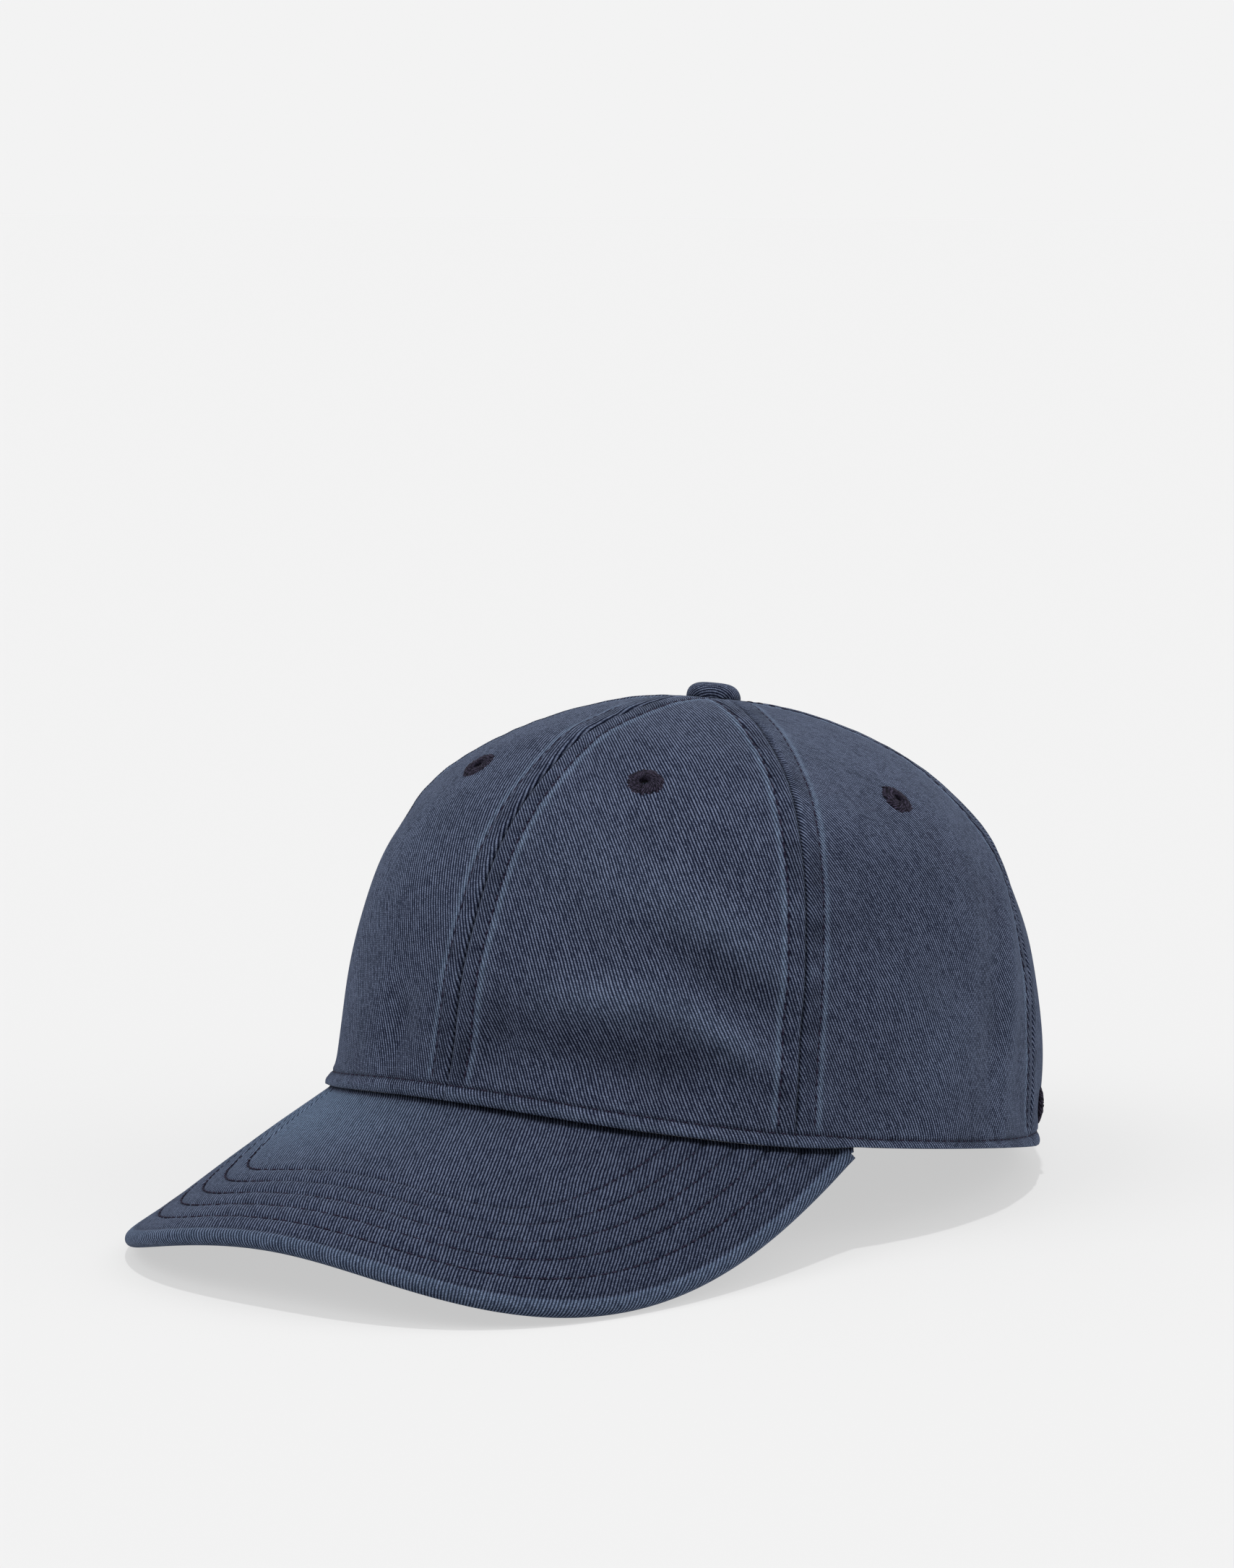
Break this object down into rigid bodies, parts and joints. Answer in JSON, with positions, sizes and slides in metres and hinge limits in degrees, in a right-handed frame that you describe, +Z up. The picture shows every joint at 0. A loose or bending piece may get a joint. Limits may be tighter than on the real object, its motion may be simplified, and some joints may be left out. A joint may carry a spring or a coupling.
{
  "type": "baseball cap",
  "caption": "Soft panelled cotton cap with a curved stitched visor, covered top button, vent eyelets and an adjustable buckled strap behind.",
  "frame": {"origin": "middle of the cap's footprint on the surface it stands on, standing on the visor's two side edges and the rear rim", "axes": "-Y to the front, along the visor; +X to the wearer's left; +Z up"},
  "size_m": [0.1686, 0.266, 0.1229],
  "materials": {
    "crown_twill": "washed navy cotton twill",
    "visor_twill": "washed navy cotton twill",
    "strap_twill": "washed navy cotton twill",
    "sweatband_twill": "navy cotton twill",
    "tape_cotton": "plain woven cotton tape",
    "lining_felt": "navy brushed cotton lining",
    "eyelet_thread": "dark embroidery thread",
    "label_cloth": "plain woven label",
    "visor_board": "moulded sheet",
    "button_metal": "pressed sheet",
    "buckle_brass": "aged brass"
  },
  "bodies": {
    "cap": {"front_panel_left": "crown_twill", "front_panel_right": "crown_twill", "side_panel_left": "crown_twill", "side_panel_right": "crown_twill", "back_panel_left": "crown_twill", "back_panel_right": "crown_twill", "seam_tape_front_centre": "tape_cotton", "seam_tape_front_left": "tape_cotton", "seam_tape_front_right": "tape_cotton", "seam_tape_rear_centre": "tape_cotton", "seam_tape_rear_left": "tape_cotton", "seam_tape_rear_right": "tape_cotton", "vent_eyelet_front_left": "eyelet_thread", "vent_eyelet_front_right": "eyelet_thread", "vent_eyelet_side_left": "eyelet_thread", "vent_eyelet_side_right": "eyelet_thread", "vent_eyelet_back_left": "eyelet_thread", "vent_eyelet_back_right": "eyelet_thread", "tuck_in_eyelet": "eyelet_thread", "rear_arch_facing": "tape_cotton", "sweatband": "sweatband_twill", "sweatband_lining": "lining_felt", "inner_label": "label_cloth", "visor_board": "visor_board", "visor_top_cover": "visor_twill", "visor_under_cover": "visor_twill", "button_cover": "crown_twill", "button_shell": "button_metal", "button_tack": "button_metal", "buckle_loop": "strap_twill", "buckle_frame": "buckle_brass", "buckle_pin": "buckle_brass"},
    "strap": {"strap": "strap_twill"},
    "cam": {"buckle_cam": "buckle_brass"}
  },
  "joints": [
    {"name": "strap_slide", "type": "hinge", "parent": "cap", "child": "strap", "pos_m": [0, 0.05869, 0.02282], "axis": [0, -0.1618, -0.9868], "range_deg": [-14, 21.5]},
    {"name": "buckle_cam_hinge", "type": "hinge", "parent": "cap", "child": "cam", "pos_m": [0.01157, 0.12949, 0.01121], "axis": [0, 0.1618, 0.9868], "range_deg": [0, 100]}
  ]
}
